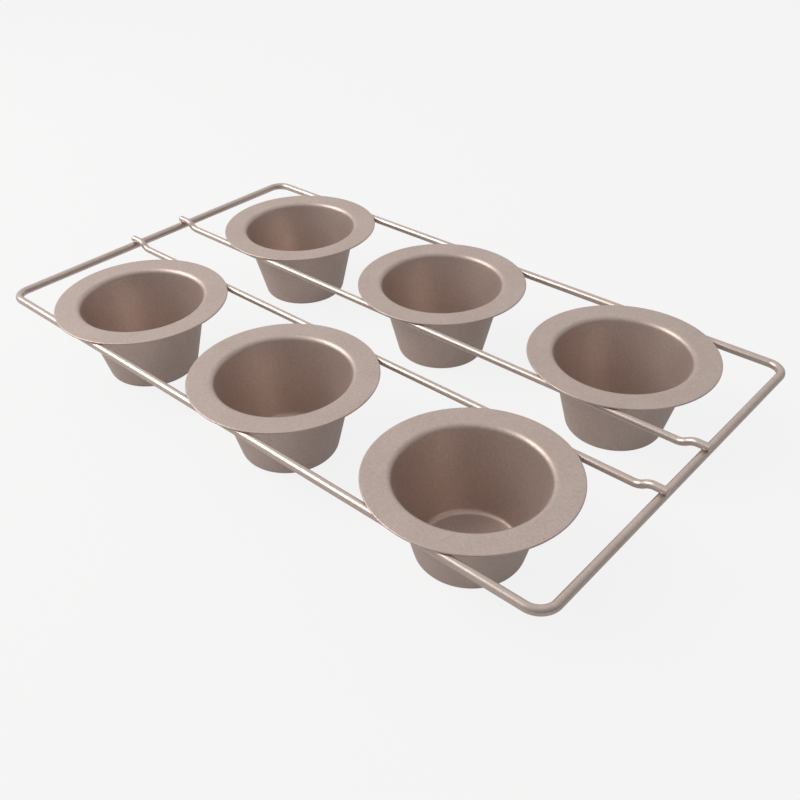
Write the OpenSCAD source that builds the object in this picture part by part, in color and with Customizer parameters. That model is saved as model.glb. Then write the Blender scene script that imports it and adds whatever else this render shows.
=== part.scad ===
// Popover pan: six drawn cups with wide flanges hang on a rectangular frame of round wire and on two
// cross wires. The pan stands on the floors of its cups.
// X runs along the pan's length, Y from front to back, +Z up. The origin lies under the pan's
// middle, on the surface that the cups stand on.

/* [Cup] */
// Height of a cup, from its underside to the top of its flange
cup_depth = 46.5; // [38:0.5:60]
// Radius of the mouth: the inner wall carried up to the flange's top
mouth_r = 36; // [30:0.5:44]
// Radius of the floor: the inner wall carried down to the floor
floor_r = 25; // [18:0.5:30]
// Width of the flange, from the mouth to its edge
flange_w = 14; // [12:0.5:20]
// Thickness of the coated sheet
sheet = 1; // [0.6:0.1:1.4]
// Radius of the bend between wall and flange, on its hollow side
mouth_bend = 2.2; // [1:0.1:3]
// Radius of the bend between wall and floor, on its hollow side
floor_bend = 3; // [1:0.1:6]

/* [Layout] */
// Gap between the flanges of neighbouring cups in a row
cup_gap = 22.5; // [4:0.5:40]
// Gap between the flanges of the two rows
row_gap = 28; // [10:0.5:50]
// Distance from the end cups' flanges to the axis of the frame's short side
end_gap = 19; // [15:0.5:40]
// Distance from a flange's edge in to the axis of each wire under it
wire_inset = 5.5; // [3:0.1:7]

/* [Wires] */
// Diameter of the frame's wire
frame_wire_d = 4.5; // [3.5:0.1:5.5]
// Diameter of the cross wires
cross_wire_d = 4; // [3:0.1:5]
// Radius of the frame's corners, at the wire's axis
corner_bend = 9; // [6:0.5:20]
// Straight stretch of a cross wire from its step to the axis of the frame's short side
lap_run = 4; // [3:0.5:6]
// How far a cross wire is pressed on to the frame's wire as it is welded
lap_sink = 0.6; // [0.2:0.1:1]

/* [Welds] */
// Gap that a weld fills between a wire and a flange
weld_gap = 0.2; // [0.1:0.05:0.4]
// Length of a weld along its wire
weld_l = 5; // [3:0.5:8]
// Width of a weld across its wire
weld_w = 2.4; // [1.6:0.1:2.8]
// Distance of a weld from the middle of its cup, along the wire
weld_reach = 12; // [6:0.5:15]

/* [Hidden] */
$fn = 96;

// Chords in each bend of a cup's outline
bend_steps = 10;

flange_r = mouth_r + flange_w;
cup_pitch = 2 * flange_r + cup_gap;
row_y = flange_r + row_gap / 2;
cross_y = row_gap / 2 + wire_inset;
frame_half_l = cup_pitch + flange_r + end_gap;
frame_half_w = row_y + flange_r - wire_inset;

flange_under = cup_depth - sheet;
frame_z = flange_under - weld_gap - frame_wire_d / 2;
cross_z = flange_under - weld_gap - cross_wire_d / 2;
lap_z = frame_z + (frame_wire_d + cross_wire_d) / 2 - lap_sink;

// A cross wire's step is two equal arcs, one that turns it up and one that levels it again. Each turns
// through the angle of a 3-4-5 triangle, so that the arcs meet on round numbers.
step_sin = 0.6;
step_cos = 0.8;
step_rise = lap_z - cross_z;
step_bend = step_rise / 2 / (1 - step_cos);
step_run = 2 * step_bend * step_sin;
step_end = frame_half_l - lap_run;
step_start = step_end - step_run;

// A cup's wall leans out by wall_lean from the vertical.
wall_lean = atan((mouth_r - floor_r) / flange_under);

// Radius of the inner wall at a height above the cup's underside
function inner_r(z) = floor_r + (z - sheet) * tan(wall_lean);

// Centre of the floor's bend, above the floor and in from the inner wall
floor_bend_z = sheet + floor_bend;
floor_centre = [inner_r(floor_bend_z) - floor_bend / cos(wall_lean), floor_bend_z];
// Centre of the mouth's bend, under the flange and out from the outer wall
mouth_bend_z = flange_under - mouth_bend;
mouth_centre = [inner_r(mouth_bend_z) + (sheet + mouth_bend) / cos(wall_lean), mouth_bend_z];

// Points of an arc about a centre, from one angle to another
function arc(centre, r, from, to) =
    [for (i = [0 : bend_steps]) let (a = from + (to - from) * i / bend_steps)
        centre + r * [cos(a), sin(a)]];

// A cup's sheet in section: out along its inner face, round its edge and back along its outer face
module cup_section() {
    polygon(concat(
        [[0, sheet]],
        arc(floor_centre, floor_bend, -90, -wall_lean),
        arc(mouth_centre, mouth_bend + sheet, 180 - wall_lean, 90),
        arc([flange_r - sheet / 2, cup_depth - sheet / 2], sheet / 2, 90, -90),
        arc(mouth_centre, mouth_bend, 90, 180 - wall_lean),
        arc(floor_centre, floor_bend + sheet, -wall_lean, -90),
        [[0, 0]]
    ));
}

// A cup in column -1, 0 or 1 from the left, on side -1 for the front row or 1 for the back row
module cup(column, side) {
    color("rosybrown")
    translate([column * cup_pitch, side * row_y, 0])
    rotate_extrude()
    cup_section();
}

// A straight stretch of round wire along X
module run(d, from, to) {
    translate([from, 0, 0])
    rotate([0, 90, 0])
    cylinder(d = d, h = to - from);
}

// A quarter turn of the frame's wire in the XY plane, about the origin, from +X to +Y
module corner_arc() {
    rotate_extrude(angle = 90)
    translate([corner_bend, 0])
    circle(d = frame_wire_d);
}

// One arc of a step: a ring of wire about the origin, cut out between -Y and the end of the turn
module step_arc() {
    reach = 2 * step_bend;
    intersection() {
        rotate_extrude()
        translate([step_bend, 0])
        circle(d = cross_wire_d);
        linear_extrude(height = 2 * cross_wire_d, center = true)
        polygon([[0, 0], [0, -reach], [reach * step_sin, -reach * step_cos]]);
    }
}

// The rectangle of wire round the pan, with its four bent corners
module outer_frame() {
    corner_x = frame_half_l - corner_bend;
    corner_y = frame_half_w - corner_bend;
    color("tan")
    translate([0, 0, frame_z])
    union() {
        for (side = [-1, 1]) {
            translate([0, side * frame_half_w, 0])
            run(frame_wire_d, -corner_x, corner_x);
            translate([side * frame_half_l, 0, 0])
            rotate([0, 0, 90])
            run(frame_wire_d, -corner_y, corner_y);
        }
        for (corner = [[1, 1, 0], [-1, 1, 90], [-1, -1, 180], [1, -1, 270]])
            translate([corner[0] * corner_x, corner[1] * corner_y, 0])
            rotate([0, 0, corner[2]])
            corner_arc();
    }
}

// The right end of a cross wire: a step up, and a stretch that laps over the frame's short side
module cross_wire_end() {
    translate([step_start, 0, cross_z + step_bend])
    rotate([90, 0, 0])
    step_arc();
    translate([step_end, 0, lap_z - step_bend])
    rotate([90, 0, 0])
    rotate([0, 0, 180])
    step_arc();
    translate([0, 0, lap_z])
    run(cross_wire_d, step_end, frame_half_l + frame_wire_d / 2);
}

// A cross wire, with the hollows in which its ends sit on the frame's short sides
module cross_wire(side) {
    color("tan")
    translate([0, side * cross_y, 0])
    difference() {
        union() {
            translate([0, 0, cross_z])
            run(cross_wire_d, -step_start, step_start);
            cross_wire_end();
            mirror([1, 0, 0])
            cross_wire_end();
        }
        for (x = [-frame_half_l, frame_half_l])
            translate([x, 0, frame_z])
            rotate([90, 0, 0])
            cylinder(d = frame_wire_d, h = 2 * cross_wire_d, center = true);
    }
}

// A weld from a wire along X through the origin up to the flange above it
module weld(wire_d) {
    difference() {
        translate([-weld_l / 2, -weld_w / 2, 0])
        cube([weld_l, weld_w, wire_d / 2 + weld_gap]);
        rotate([0, 90, 0])
        cylinder(d = wire_d, h = 2 * weld_l, center = true);
    }
}

// Four welds under each flange: two on the frame's long side and two on the row's cross wire
module flange_welds() {
    color("tan")
    for (column = [-1 : 1], side = [-1, 1], along = [-weld_reach, weld_reach])
        translate([column * cup_pitch + along, 0, 0]) {
            translate([0, side * frame_half_w, frame_z])
            weld(frame_wire_d);
            translate([0, side * cross_y, cross_z])
            weld(cross_wire_d);
        }
}

outer_frame();
cross_wire(-1);  // cross_wire_front
cross_wire(1);  // cross_wire_back
cup(-1, -1);  // cup_front_left
cup(0, -1);  // cup_front_middle
cup(1, -1);  // cup_front_right
cup(-1, 1);  // cup_back_left
cup(0, 1);  // cup_back_middle
cup(1, 1);  // cup_back_right
flange_welds();
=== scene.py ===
import math

import bpy
import numpy as np
from mathutils import Matrix, Vector


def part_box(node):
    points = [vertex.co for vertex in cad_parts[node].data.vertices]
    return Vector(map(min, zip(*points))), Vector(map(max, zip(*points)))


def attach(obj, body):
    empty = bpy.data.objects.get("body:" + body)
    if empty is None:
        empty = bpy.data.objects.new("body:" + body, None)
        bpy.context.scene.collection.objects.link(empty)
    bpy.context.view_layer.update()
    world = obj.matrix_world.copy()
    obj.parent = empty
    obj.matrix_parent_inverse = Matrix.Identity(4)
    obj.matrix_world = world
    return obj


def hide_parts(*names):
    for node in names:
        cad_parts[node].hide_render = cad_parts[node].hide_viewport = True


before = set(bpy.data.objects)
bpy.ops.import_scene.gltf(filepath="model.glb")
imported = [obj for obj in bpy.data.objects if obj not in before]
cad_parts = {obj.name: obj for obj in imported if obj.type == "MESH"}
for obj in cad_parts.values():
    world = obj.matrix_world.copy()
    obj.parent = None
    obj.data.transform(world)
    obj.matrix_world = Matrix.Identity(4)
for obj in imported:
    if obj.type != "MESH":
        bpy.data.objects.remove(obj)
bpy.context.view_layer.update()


scene = bpy.context.scene
cupNodes = ["cup_front_left", "cup_front_middle", "cup_front_right",
            "cup_back_left", "cup_back_middle", "cup_back_right"]
crossNodes = ["cross_wire_front", "cross_wire_back"]
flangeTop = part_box(cupNodes[0])[1].z
print("frame loaded, flange tops at", round(flangeTop, 4))

# the camera, as found from the photograph's flanges and wires, in the photograph's 800 pixel frame
photoCamera = {
    "azimuth": 43.21,         # degrees from the front round towards the right
    "elevation": 35.56,
    "roll": -1.82,
    "distance": 0.4572,       # metres from the aim point
    "aim": (0.05484, -0.04448),  # on the plane of the flanges
    "focalPixels": 925.9,
    "centrePixels": (387.8, 396.7),
    "framePixels": 800,
    "sensor": 36.0,           # millimetres
    "nearClip": 0.01,
}


def placeCamera(shape):
    # back points from the aim to the camera; right and up are turned about it by the roll
    azimuth, elevation, roll = (math.radians(shape[key]) for key in ("azimuth", "elevation", "roll"))
    back = Vector((math.sin(azimuth) * math.cos(elevation),
                   -math.cos(azimuth) * math.cos(elevation), math.sin(elevation)))
    level = Vector((math.cos(azimuth), math.sin(azimuth), 0))
    upright = back.cross(level)
    right = level * math.cos(roll) + upright * math.sin(roll)
    up = upright * math.cos(roll) - level * math.sin(roll)
    data = bpy.data.cameras.new("photoCamera")
    data.sensor_width = shape["sensor"]
    data.lens = shape["focalPixels"] / shape["framePixels"] * shape["sensor"]
    data.shift_x = 0.5 - shape["centrePixels"][0] / shape["framePixels"]
    data.shift_y = shape["centrePixels"][1] / shape["framePixels"] - 0.5
    data.clip_start = shape["nearClip"]
    camera = bpy.data.objects.new("photoCamera", data)
    camera.matrix_world = Matrix((right, up, back)).transposed().to_4x4()
    camera.location = Vector((*shape["aim"], flangeTop)) + back * shape["distance"]
    scene.collection.objects.link(camera)
    scene.camera = camera


placeCamera(photoCamera)
print("camera placed")


# shapes: every new piece is a grid of points, rows along it and columns round it

def meshFromGrid(name, grid, closed, poles=()):
    # grid is rows x columns x 3, wrapped round its columns; closed wraps its rows too, and otherwise
    # each end row is drawn to its pole, a point
    rows, columns = grid.shape[:2]
    points = grid.reshape(-1, 3)
    here = np.arange(rows if closed else rows - 1)[:, None] * columns
    there = ((np.arange(len(here))[:, None] + 1) % rows) * columns
    column = np.arange(columns)[None, :]
    beside = (column + 1) % columns
    quads = np.stack([here + column, there + column, there + beside, here + beside], -1).reshape(-1, 4)
    fans = np.zeros((0, 3), int)
    if not closed:
        points = np.concatenate([points, np.array(poles, float)])
        first, last = rows * columns, rows * columns + 1
        ends = (rows - 1) * columns
        fans = np.concatenate([
            np.stack([np.full(columns, first), column[0], beside[0]], -1),
            np.stack([np.full(columns, last), ends + beside[0], ends + column[0]], -1)])
    # the sum of the tetrahedra under the quads tells which way they face
    a, b, c, d = (points[quads[:, k]] for k in range(4))
    volume = (np.einsum("ij,ij->i", a, np.cross(b, c)) + np.einsum("ij,ij->i", a, np.cross(c, d))).sum()
    if volume < 0:
        quads, fans = quads[:, ::-1], fans[:, ::-1]
    mesh = bpy.data.meshes.new(name)
    mesh.from_pydata(points.tolist(), [], quads.tolist() + fans.tolist())
    mesh.shade_smooth()
    mesh.validate()
    piece = bpy.data.objects.new(name, mesh)
    scene.collection.objects.link(piece)
    return piece


def arc(centre, radius, start, end, steps):
    # points at even angles, in degrees, about a centre in the section's plane
    angle = np.radians(np.linspace(start, end, steps))
    return np.stack([centre[0] + radius * np.cos(angle), centre[1] + radius * np.sin(angle)], -1)


def stretch(start, end, steps):
    # points at even steps between two points, without the two
    share = np.linspace(0, 1, steps + 2)[1:-1, None]
    return np.asarray(start) * (1 - share) + np.asarray(end) * share


cupShape = {
    "mouthRadius": 0.036,     # the inner wall carried up to the flange's top
    "floorRadius": 0.025,     # the inner wall carried down to the floor's top
    "sheet": 0.001,
    "mouthBend": 0.0022,      # hollow side
    "floorBend": 0.003,       # hollow side
    "flangeWarp": 0.00012,    # how far a flange's edge waves out of flat
    "warpWaves": 2,           # waves in one turn of the edge
    "warpShift": 1.9,         # radians from one cup's waves to the next cup's
    "wallRipple": 0.00003,    # faint ripple that the drawing leaves in the wall
    "rippleWaves": 5,
    "rippleShift": 2.3,
    "roundSteps": 224,        # points round a cup; the other steps are points along its outline
    "topSteps": 8,            # across the floor and across the flange, on the upper side
    "underSteps": 6,          # the same on the underside
    "wallSteps": 14,
    "tightSteps": 12,         # in a bend's inner side
    "wideSteps": 14,          # in a bend's outer side
    "edgeSteps": 11,          # round the flange's edge
}


def cupOutline(shape, flangeRadius, depth):
    # the sheet in section, from the middle of the floor's top, up the wall, over the mouth, round the
    # flange's edge and back below to the middle of the underside
    sheet, mouth, floor = shape["sheet"], shape["mouthBend"], shape["floorBend"]
    tight, wide, wall = shape["tightSteps"], shape["wideSteps"], shape["wallSteps"]
    top, under = shape["topSteps"], shape["underSteps"]
    slope = (shape["mouthRadius"] - shape["floorRadius"]) / (depth - sheet)
    lean = math.atan(slope)
    leanDegrees = math.degrees(lean)
    floorHeight = sheet + floor
    mouthHeight = depth - sheet - mouth
    floorCentre = (shape["floorRadius"] + floor * slope - floor / math.cos(lean), floorHeight)
    mouthCentre = (shape["floorRadius"] + (mouthHeight - sheet) * slope
                   + (sheet + mouth) / math.cos(lean), mouthHeight)
    edge = (flangeRadius - sheet / 2, depth - sheet / 2)
    innerFloor = arc(floorCentre, floor, -90, -leanDegrees, tight)
    innerMouth = arc(mouthCentre, mouth + sheet, 180 - leanDegrees, 90, wide)
    rim = arc(edge, sheet / 2, 90, -90, shape["edgeSteps"])
    outerMouth = arc(mouthCentre, mouth, 90, 180 - leanDegrees, tight)
    outerFloor = arc(floorCentre, floor + sheet, -leanDegrees, -90, wide)
    centreTop, centreUnder = (0.0, sheet), (0.0, 0.0)
    outline = [stretch(centreTop, innerFloor[0], top), innerFloor,
               stretch(innerFloor[-1], innerMouth[0], wall), innerMouth,
               stretch(innerMouth[-1], rim[0], top), rim,
               stretch(rim[-1], outerMouth[0], under), outerMouth,
               stretch(outerMouth[-1], outerFloor[0], wall), outerFloor,
               stretch(outerFloor[-1], centreUnder, under)]
    return np.concatenate(outline)


def makeCup(node, order):
    # the outline turned about the cup's axis, with a wavy edge and a faint ripple added
    shape = cupShape
    low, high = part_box(node)
    centre = (low + high) / 2
    flangeRadius, depth = (high.x - low.x) / 2, high.z - low.z
    outline = cupOutline(shape, flangeRadius, depth)
    turn = np.linspace(0, 2 * np.pi, shape["roundSteps"], endpoint=False)[None, :]
    radius, height = outline[:, :1], outline[:, 1:]
    # the warp grows with the fourth power of the radius, so only the flange shows it
    warpWave = np.cos(shape["warpWaves"] * turn + shape["warpShift"] * order)
    warp = shape["flangeWarp"] * (radius / flangeRadius) ** 4 * warpWave
    # the ripple is full at half the cup's height and nothing at its floor and mouth
    share = np.clip(height / depth, 0, 1)
    rippleWave = np.cos(shape["rippleWaves"] * turn + shape["rippleShift"] * order)
    ripple = shape["wallRipple"] * 4 * share * (1 - share) * rippleWave
    grid = np.stack([centre.x + (radius + ripple) * np.cos(turn),
                     centre.y + (radius + ripple) * np.sin(turn),
                     low.z + height + warp * (height / depth)], -1)
    poles = [(centre.x, centre.y, low.z + shape["sheet"]), (centre.x, centre.y, low.z)]
    piece = meshFromGrid(node + "_sheet", grid, False, poles)
    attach(piece, "root")
    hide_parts(node)
    return piece


cups = [makeCup(node, order) for order, node in enumerate(cupNodes)]
print("cups drawn:", len(cups))

wireShape = {
    "cornerBend": 0.009,      # at the wire's axis
    "lapRun": 0.004,          # straight part between the step and the frame's short side
    "stepSine": 0.6,          # sine of the step's steepest slope
    "endRounding": 0.00045,   # the cut ends are tumbled and coated, so their edges are soft
    "roundSteps": 40,         # points round a wire; the other steps are points along it
    "cornerSteps": 24,
    "straightSteps": 60,
    "arcSteps": 16,           # in each arc of a step
    "lapSteps": 22,
    "endSteps": 7,            # in the soft edge of a cut end
}


def sweepWire(name, path, across, radii, closed, poles=(), reshape=None):
    # a circle carried along the path; across is the direction that is square to the whole path, and
    # reshape changes the finished grid
    if closed:
        tangent = np.roll(path, -1, 0) - np.roll(path, 1, 0)
    else:
        tangent = np.gradient(path, axis=0)
    tangent /= np.linalg.norm(tangent, axis=1, keepdims=True)
    beside = np.cross(tangent, across)
    turn = np.linspace(0, 2 * np.pi, wireShape["roundSteps"], endpoint=False)
    ring = np.cos(turn)[None, :, None] * np.asarray(across)[None, None, :]
    ring = ring + np.sin(turn)[None, :, None] * beside[:, None, :]
    grid = path[:, None, :] + np.asarray(radii)[:, None, None] * ring
    if reshape is not None:
        grid = reshape(grid)
    piece = meshFromGrid(name, grid, closed, poles)
    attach(piece, "root")
    return piece


def makeFrame(node):
    # a rectangle with quarter circles at its corners
    low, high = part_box(node)
    radius = (high.z - low.z) / 2
    height = (high.z + low.z) / 2
    bend = wireShape["cornerBend"]
    halfLength = high.x - radius - bend
    halfWidth = high.y - radius - bend
    bends = []
    for signX, signY, start in ((1, 1, 0), (-1, 1, 90), (-1, -1, 180), (1, -1, 270)):
        centre = (signX * halfLength, signY * halfWidth)
        bends.append(arc(centre, bend, start, start + 90, wireShape["cornerSteps"]))
    line = []
    for here, there in zip(bends, bends[1:] + bends[:1]):
        line += [here, stretch(here[-1], there[0], wireShape["straightSteps"])]
    line = np.concatenate(line)
    path = np.concatenate([line, np.full((len(line), 1), height)], 1)
    piece = sweepWire("outer_frame_wire", path, (0.0, 0.0, 1.0), np.full(len(path), radius), True)
    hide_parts(node)
    return piece, radius, height


frameWire, frameRadius, frameHeight = makeFrame("outer_frame")


def makeCrossWire(node):
    # level, up through an arc and a counter-arc, level over the frame, with softened cut ends
    low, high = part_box(node)
    width = high.y - low.y
    radius, middle = width / 2, (high.y + low.y) / 2
    levelHeight, lapHeight = low.z + radius, high.z - radius
    rise = lapHeight - levelHeight
    sine = wireShape["stepSine"]
    cosine = math.sqrt(1 - sine * sine)
    bend = rise / 2 / (1 - cosine)
    frameAxis = high.x - frameRadius
    stepEnd = frameAxis - wireShape["lapRun"]
    stepStart = stepEnd - 2 * bend * sine
    degrees = math.degrees(math.asin(sine))
    arcSteps, endSteps = wireShape["arcSteps"], wireShape["endSteps"]
    lowerArc = arc((stepStart, levelHeight + bend), bend, -90, -90 + degrees, arcSteps)
    upperArc = arc((stepEnd, lapHeight - bend), bend, 90 + degrees, 90, arcSteps)[1:]
    soft = wireShape["endRounding"]
    angle = np.linspace(0, math.pi / 2, endSteps)
    endRun = np.stack([high.x - soft + soft * np.sin(angle), np.full(endSteps, lapHeight)], -1)
    half = np.concatenate([
        stretch((0, levelHeight), lowerArc[0], wireShape["straightSteps"]), lowerArc, upperArc,
        stretch(upperArc[-1], endRun[0], wireShape["lapSteps"]), endRun])
    shrink = np.zeros(len(half))
    shrink[-endSteps:] = soft * (1 - np.cos(angle))
    line = np.concatenate([half[::-1] * (-1, 1), [(0, levelHeight)], half])
    radii = radius - np.concatenate([shrink[::-1], [0], shrink])
    path = np.stack([line[:, 0], np.full(len(line), middle), line[:, 1]], -1)

    def seatOnFrame(grid):
        # over the frame's wire the underside is pressed to that wire's own round
        offset = np.abs(np.abs(grid[..., 0]) - frameAxis)
        seat = frameHeight + np.sqrt(np.clip(frameRadius ** 2 - offset ** 2, 0, None))
        over = (offset < frameRadius) & (grid[..., 2] < seat)
        grid[..., 2] = np.where(over, seat, grid[..., 2])
        return grid

    ends = [(-high.x, middle, lapHeight), (high.x, middle, lapHeight)]
    piece = sweepWire(node + "_wire", path, (0.0, 1.0, 0.0), radii, False, ends, seatOnFrame)
    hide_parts(node)
    return piece


crossWires = [makeCrossWire(node) for node in crossNodes]
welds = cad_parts["flange_welds"]
print("wires drawn:", 1 + len(crossWires))


# finishes

def nodeGroup(name, inputs, outputs):  # an empty shader group with named sockets
    group = bpy.data.node_groups.new(name, "ShaderNodeTree")
    for label, kind, value in inputs:
        socket = group.interface.new_socket(name=label, in_out="INPUT", socket_type=kind)
        if value is not None:
            socket.default_value = value
    for label, kind in outputs:
        group.interface.new_socket(name=label, in_out="OUTPUT", socket_type=kind)
    return group, group.nodes.new("NodeGroupInput"), group.nodes.new("NodeGroupOutput")


def noise(tree, vector, scale, detail, roughness):
    node = tree.nodes.new("ShaderNodeTexNoise")
    node.inputs["Detail"].default_value = detail
    node.inputs["Roughness"].default_value = roughness
    tree.links.new(vector, node.inputs["Vector"])
    tree.links.new(scale, node.inputs["Scale"])
    return node.outputs["Fac"]


def combine(tree, operation, first, second):  # two values or sockets through one operation
    node = tree.nodes.new("ShaderNodeMath")
    node.operation = operation
    for socket, value in zip(node.inputs, (first, second)):
        if isinstance(value, (int, float)):
            socket.default_value = value
        else:
            tree.links.new(value, socket)
    return node.outputs[0]


def remap(tree, value, fromLow, fromHigh, toLow, toHigh):  # one span of values stretched to another
    node = tree.nodes.new("ShaderNodeMapRange")
    limits = {"From Min": fromLow, "From Max": fromHigh, "To Min": toLow, "To Max": toHigh}
    for label, number in limits.items():
        node.inputs[label].default_value = number
    tree.links.new(value, node.inputs["Value"])
    return node.outputs["Result"]


grain = {
    "fine": (0.32, 0.68),      # the noise's values that become nothing and full
    "coarse": (0.30, 0.70),
    "drift": (0.30, 0.70),
    "fineShare": 0.6,          # of the two grains in the mask
    "coarseShare": 0.4,
    "fineOctaves": (1.0, 0.6),  # how many finer layers the noise has, and each layer's gain
    "coarseOctaves": (2.0, 0.6),
    "driftOctaves": (3.0, 0.55),
}


def buildFlake():
    # metallic flake under the coating: a fine grain on a coarser one, as a mask and a height
    group, source, sink = nodeGroup(
        "metallicFlake",
        [("Vector", "NodeSocketVector", None), ("Fine Scale", "NodeSocketFloat", 2600.0),
         ("Coarse Scale", "NodeSocketFloat", 900.0)],
        [("Mask", "NodeSocketFloat"), ("Height", "NodeSocketFloat")])
    place = source.outputs["Vector"]
    fine = noise(group, place, source.outputs["Fine Scale"], *grain["fineOctaves"])
    coarse = noise(group, place, source.outputs["Coarse Scale"], *grain["coarseOctaves"])
    sharpFine = remap(group, fine, *grain["fine"], 0.0, 1.0)
    sharpCoarse = remap(group, coarse, *grain["coarse"], 0.0, 1.0)
    mixed = combine(group, "ADD", combine(group, "MULTIPLY", sharpFine, grain["fineShare"]),
                    combine(group, "MULTIPLY", sharpCoarse, grain["coarseShare"]))
    group.links.new(mixed, sink.inputs["Mask"])
    group.links.new(sharpFine, sink.inputs["Height"])
    return group


def buildUneven():
    # slow drift of the sprayed coat's thickness over several centimetres
    group, source, sink = nodeGroup(
        "unevenCoat",
        [("Vector", "NodeSocketVector", None), ("Scale", "NodeSocketFloat", 45.0)],
        [("Drift", "NodeSocketFloat")])
    drift = noise(group, source.outputs["Vector"], source.outputs["Scale"], *grain["driftOctaves"])
    group.links.new(remap(group, drift, *grain["drift"], 0.0, 1.0), sink.inputs["Drift"])
    return group


flakeGroup = buildFlake()
unevenGroup = buildUneven()

# colours are linear, from the dark to the light of the grain; the scales count noise cells in a metre
coatings = {
    "cupCoating": {
        "dark": (0.50, 0.385, 0.335), "light": (0.72, 0.60, 0.545),
        "fineScale": 2600.0, "coarseScale": 850.0, "driftScale": 40.0, "driftShare": 0.18,
        "metallic": 0.62, "roughLow": 0.36, "roughHigh": 0.50,
        "bumpStrength": 0.16, "bumpDepth": 0.00004, "coat": 0.0, "coatRoughness": 0.3,
    },
    "wireCoating": {
        "dark": (0.52, 0.41, 0.36), "light": (0.74, 0.63, 0.575),
        "fineScale": 3200.0, "coarseScale": 700.0, "driftScale": 60.0, "driftShare": 0.25,
        "metallic": 0.70, "roughLow": 0.26, "roughHigh": 0.38,
        "bumpStrength": 0.12, "bumpDepth": 0.00004, "coat": 0.25, "coatRoughness": 0.22,
    },
}


def makeCoating(name, look):
    material = bpy.data.materials.new(name)
    material.use_nodes = True
    tree = material.node_tree
    shader = tree.nodes["Principled BSDF"]
    place = tree.nodes.new("ShaderNodeTexCoord").outputs["Object"]
    flake = tree.nodes.new("ShaderNodeGroup")
    flake.node_tree = flakeGroup
    tree.links.new(place, flake.inputs["Vector"])
    flake.inputs["Fine Scale"].default_value = look["fineScale"]
    flake.inputs["Coarse Scale"].default_value = look["coarseScale"]
    uneven = tree.nodes.new("ShaderNodeGroup")
    uneven.node_tree = unevenGroup
    tree.links.new(place, uneven.inputs["Vector"])
    uneven.inputs["Scale"].default_value = look["driftScale"]
    share = look["driftShare"]
    tone = combine(tree, "ADD", combine(tree, "MULTIPLY", flake.outputs["Mask"], 1 - share),
                   combine(tree, "MULTIPLY", uneven.outputs["Drift"], share))
    mix = tree.nodes.new("ShaderNodeMix")
    mix.data_type = "RGBA"
    mix.inputs["A"].default_value = (*look["dark"], 1)
    mix.inputs["B"].default_value = (*look["light"], 1)
    tree.links.new(tone, mix.inputs["Factor"])
    tree.links.new(mix.outputs["Result"], shader.inputs["Base Color"])
    roughness = remap(tree, tone, 0.0, 1.0, look["roughHigh"], look["roughLow"])
    tree.links.new(roughness, shader.inputs["Roughness"])
    shader.inputs["Metallic"].default_value = look["metallic"]
    shader.inputs["Coat Weight"].default_value = look["coat"]
    shader.inputs["Coat Roughness"].default_value = look["coatRoughness"]
    bump = tree.nodes.new("ShaderNodeBump")
    bump.inputs["Strength"].default_value = look["bumpStrength"]
    bump.inputs["Distance"].default_value = look["bumpDepth"]
    tree.links.new(flake.outputs["Height"], bump.inputs["Height"])
    tree.links.new(bump.outputs["Normal"], shader.inputs["Normal"])
    return material


def dress(piece, material):
    piece.data.materials.clear()
    piece.data.materials.append(material)


cupCoating = makeCoating("cupCoating", coatings["cupCoating"])
wireCoating = makeCoating("wireCoating", coatings["wireCoating"])
for cup in cups:
    dress(cup, cupCoating)
for wire in [frameWire, *crossWires]:
    dress(wire, wireCoating)
for slot in welds.material_slots:
    slot.material = wireCoating
print("finishes set")

# studio: a pale floor, a broad lamp from the left and a soft surround

studio = {
    "floorHalf": 6.0,          # metres from the middle to the floor's edge
    "floorColor": (0.62, 0.60, 0.59),
    "floorShown": 0.86,        # share of plain white that the camera sees on the floor
    "floorInMetal": 0.3,       # the same share in reflections
    "surround": 0.55,          # strength of the soft surround
    "brightSide": (-0.62, 0.35, 0.70),  # direction to the surround's brightest part
    "darkShare": 0.30,         # what is left of the surround on its dark side
    "shadeSpan": (-0.5, 0.9),  # from dark to bright, as cosines to the bright side
    "keyFrom": (-0.62, -0.42, 0.66),  # direction to the lamp
    "keyDistance": 1.3,        # metres
    "keySize": 0.9,            # metres across
    "keyPower": 9.0,           # watts
    "keyColor": (1.0, 0.975, 0.95),
}


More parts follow.
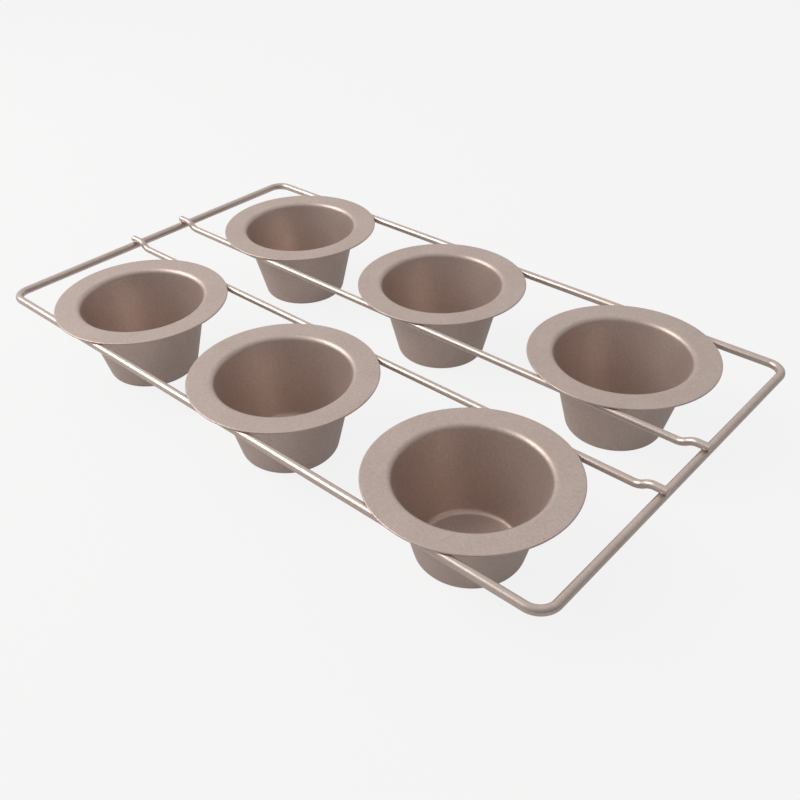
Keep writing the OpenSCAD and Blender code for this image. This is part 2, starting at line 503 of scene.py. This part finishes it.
def makeFloor():
    half = studio["floorHalf"]
    mesh = bpy.data.meshes.new("studioFloor")
    corner = [(-half, -half, 0), (half, -half, 0), (half, half, 0), (-half, half, 0)]
    mesh.from_pydata(corner, [], [(0, 1, 2, 3)])
    floor = bpy.data.objects.new("studioFloor", mesh)
    scene.collection.objects.link(floor)
    material = bpy.data.materials.new("floorPaper")
    material.use_nodes = True
    tree = material.node_tree
    tree.nodes.clear()
    out = tree.nodes.new("ShaderNodeOutputMaterial")
    paper = tree.nodes.new("ShaderNodeBsdfDiffuse")
    paper.inputs["Color"].default_value = (*studio["floorColor"], 1)
    white = tree.nodes.new("ShaderNodeEmission")
    path = tree.nodes.new("ShaderNodeLightPath")
    seen = combine(tree, "MAXIMUM", path.outputs["Is Camera Ray"], path.outputs["Is Transmission Ray"])
    shown = combine(tree, "MULTIPLY", seen, studio["floorShown"])
    inMetal = combine(tree, "MULTIPLY", path.outputs["Is Glossy Ray"], studio["floorInMetal"])
    mix = tree.nodes.new("ShaderNodeMixShader")
    tree.links.new(combine(tree, "MAXIMUM", shown, inMetal), mix.inputs["Fac"])
    tree.links.new(paper.outputs["BSDF"], mix.inputs[1])
    tree.links.new(white.outputs["Emission"], mix.inputs[2])
    tree.links.new(mix.outputs["Shader"], out.inputs["Surface"])
    dress(floor, material)


def makeSurround():
    world = bpy.data.worlds.new("studioSurround")
    scene.world = world
    world.use_nodes = True
    tree = world.node_tree
    tree.nodes.clear()
    out = tree.nodes.new("ShaderNodeOutputWorld")
    background = tree.nodes.new("ShaderNodeBackground")
    direction = tree.nodes.new("ShaderNodeTexCoord").outputs["Generated"]
    dot = tree.nodes.new("ShaderNodeVectorMath")
    dot.operation = "DOT_PRODUCT"
    dot.inputs[1].default_value = Vector(studio["brightSide"]).normalized()
    tree.links.new(direction, dot.inputs[0])
    shade = remap(tree, dot.outputs["Value"], *studio["shadeSpan"], studio["darkShare"], 1.0)
    path = tree.nodes.new("ShaderNodeLightPath")
    seen = combine(tree, "MAXIMUM", path.outputs["Is Glossy Ray"], path.outputs["Is Transmission Ray"])
    level = combine(tree, "ADD", studio["surround"], combine(tree, "MULTIPLY", seen, 1 - studio["surround"]))
    shaded = combine(tree, "MULTIPLY", level, shade)
    strength = combine(tree, "MAXIMUM", shaded, path.outputs["Is Camera Ray"])
    tree.links.new(strength, background.inputs["Strength"])
    tree.links.new(background.outputs["Background"], out.inputs["Surface"])


def makeKeyLamp():
    data = bpy.data.lights.new("keyLamp", "AREA")
    data.shape = "DISK"
    data.size = studio["keySize"]
    data.energy = studio["keyPower"]
    data.color = studio["keyColor"]
    lamp = bpy.data.objects.new("keyLamp", data)
    towards = Vector(studio["keyFrom"]).normalized()
    lamp.location = towards * studio["keyDistance"]
    lamp.rotation_euler = towards.to_track_quat("Z", "Y").to_euler()
    scene.collection.objects.link(lamp)


makeFloor()
makeSurround()
makeKeyLamp()
scene.view_settings.view_transform = "Standard"
print("studio lit")
